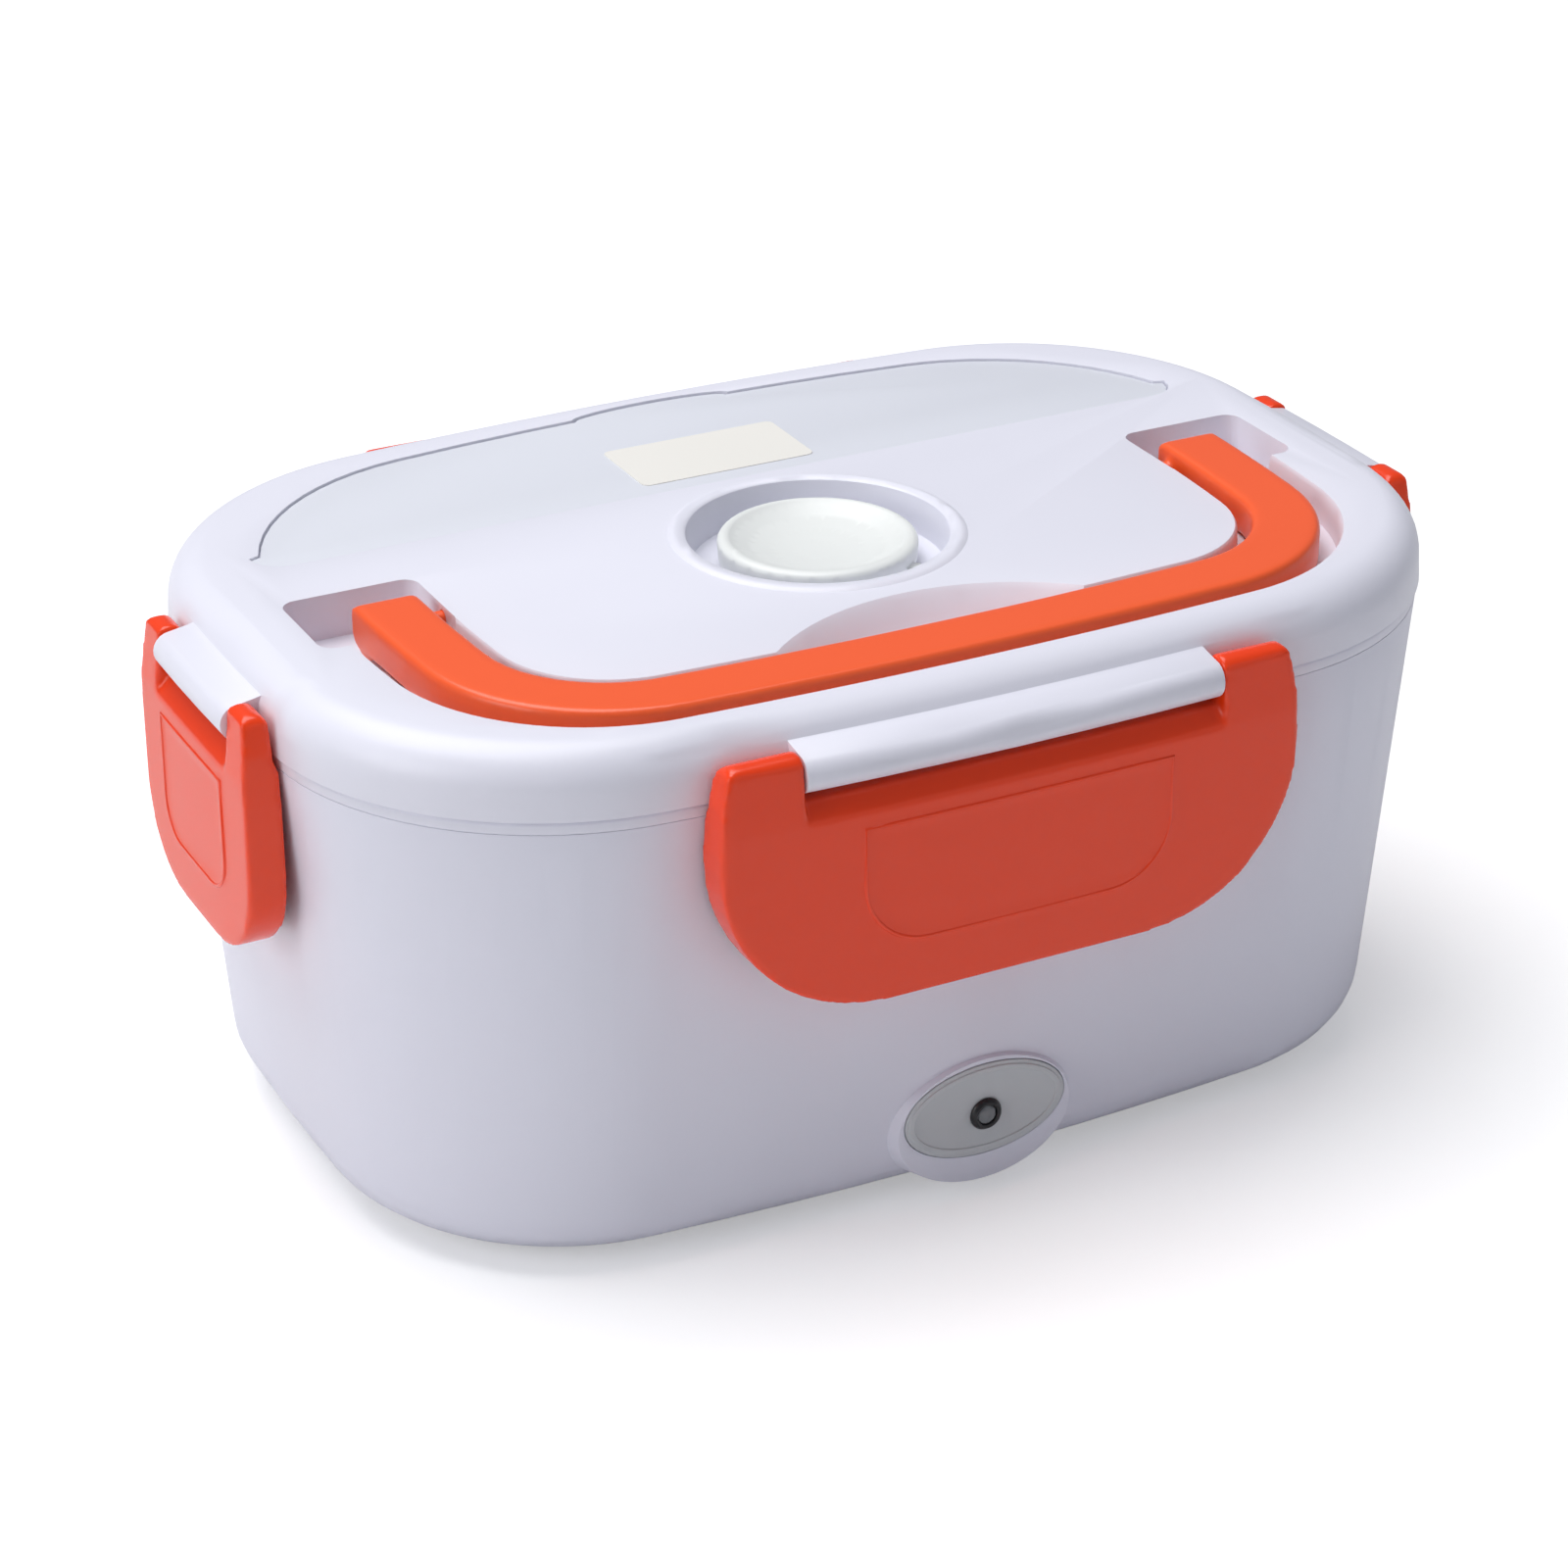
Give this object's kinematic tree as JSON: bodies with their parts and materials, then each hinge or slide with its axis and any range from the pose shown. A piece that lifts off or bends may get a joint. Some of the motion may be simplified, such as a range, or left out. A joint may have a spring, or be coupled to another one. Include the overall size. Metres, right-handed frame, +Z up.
{
  "type": "electric lunch box",
  "caption": "Heated lunch box: oval white tub with steel tray, lift-off lid with vent and cutlery compartment, orange swing handle and side latches.",
  "frame": {"origin": "middle of the footprint at the undersides of the rubber feet", "axes": "+X along the box to the right seen from the lamp, +Y to the rear with the power inlet, +Z up"},
  "size_m": [0.2398, 0.1658, 0.1074],
  "materials": {
    "white_shell": "soft gloss white with a cool tint",
    "grey_base": "matt",
    "foot_rubber": "matt",
    "screw_steel": "plated",
    "white_liner": "soft gloss",
    "plate_metal": "satin",
    "element_metal": "satin",
    "clamp_steel": "plated",
    "sensor_metal": "satin",
    "fuse_metal": "dull",
    "black_plastic": "satin black",
    "pin_brass": "bright",
    "panel_grey": "satin grey",
    "lens_dark": "clear, dark when off",
    "board_green": "lacquered",
    "tray_steel": "brushed",
    "tray_clear": "translucent",
    "white_lid": "soft gloss white with a cool tint",
    "seal_rubber": "soft, translucent grey",
    "cap_white": "soft gloss warm white",
    "cover_frosted": "frosted, lets some light through",
    "orange_handle": "gloss",
    "orange_latch": "gloss"
  },
  "bodies": {
    "base": {"body_shell": "white_shell", "base_cover": "grey_base", "feet": "foot_rubber", "base_screws": "screw_steel", "inner_liner": "white_liner", "screw_posts": "white_liner", "heater_plate": "plate_metal", "ptc_heater": "element_metal", "heater_clamp": "clamp_steel", "clamp_screws": "screw_steel", "thermostat": "sensor_metal", "thermal_fuse": "fuse_metal", "power_inlet": "black_plastic", "inlet_pins": "pin_brass", "lamp_panel": "panel_grey", "lamp_bezel": "black_plastic", "lamp_lens": "lens_dark", "lamp_board": "board_green"},
    "food_tray_body": {"food_tray": "tray_steel"},
    "side_tray_body": {"side_tray": "tray_clear"},
    "lid": {"lid_shell": "white_lid", "lid_inner_panel": "white_liner", "lid_seal": "seal_rubber"},
    "vent": {"vent_cap": "cap_white", "vent_seal": "seal_rubber"},
    "cover": {"cutlery_cover": "cover_frosted"},
    "handle_body": {"handle": "orange_handle"},
    "front_latch": {"latch_front": "orange_latch"},
    "rear_latch": {"latch_rear": "orange_latch"},
    "left_latch": {"latch_left": "orange_latch"},
    "right_latch": {"latch_right": "orange_latch"}
  },
  "joints": [
    {"name": "lid_lift", "type": "slide", "parent": "base", "child": "lid", "axis": [0, 0, 1], "range_m": [0, 0.18]},
    {"name": "food_tray_lift", "type": "slide", "parent": "base", "child": "food_tray_body", "axis": [0, 0, 1], "range_m": [0, 0.09]},
    {"name": "side_tray_lift", "type": "slide", "parent": "food_tray_body", "child": "side_tray_body", "axis": [0, 0, 1], "range_m": [0, 0.04]},
    {"name": "front_latch_swing", "type": "hinge", "parent": "lid", "child": "front_latch", "pos_m": [0, -0.07807, 0.0984], "axis": [-1, 0, 0], "range_deg": [0, 110]},
    {"name": "rear_latch_swing", "type": "hinge", "parent": "lid", "child": "rear_latch", "pos_m": [0, 0.07807, 0.0984], "axis": [1, 0, 0], "range_deg": [0, 110]},
    {"name": "left_latch_swing", "type": "hinge", "parent": "lid", "child": "left_latch", "pos_m": [-0.11589, 0, 0.0984], "axis": [0, 1, 0], "range_deg": [0, 110]},
    {"name": "right_latch_swing", "type": "hinge", "parent": "lid", "child": "right_latch", "pos_m": [0.11589, 0, 0.0984], "axis": [0, -1, 0], "range_deg": [0, 110]},
    {"name": "handle_swing", "type": "hinge", "parent": "lid", "child": "handle_body", "pos_m": [0, -0.0055, 0.1033], "axis": [-1, 0, 0], "range_deg": [0, 120]},
    {"name": "vent_pull", "type": "slide", "parent": "lid", "child": "vent", "axis": [0, 0, 1], "range_m": [0, 0.0035]},
    {"name": "cover_lift", "type": "slide", "parent": "lid", "child": "cover", "axis": [0, 0, 1], "range_m": [0, 0.03]}
  ],
  "couplings": [
    {"joint": "food_tray_lift", "follows": "lid_lift", "ratio": 0.5},
    {"joint": "side_tray_lift", "follows": "lid_lift", "ratio": 0.2222}
  ]
}
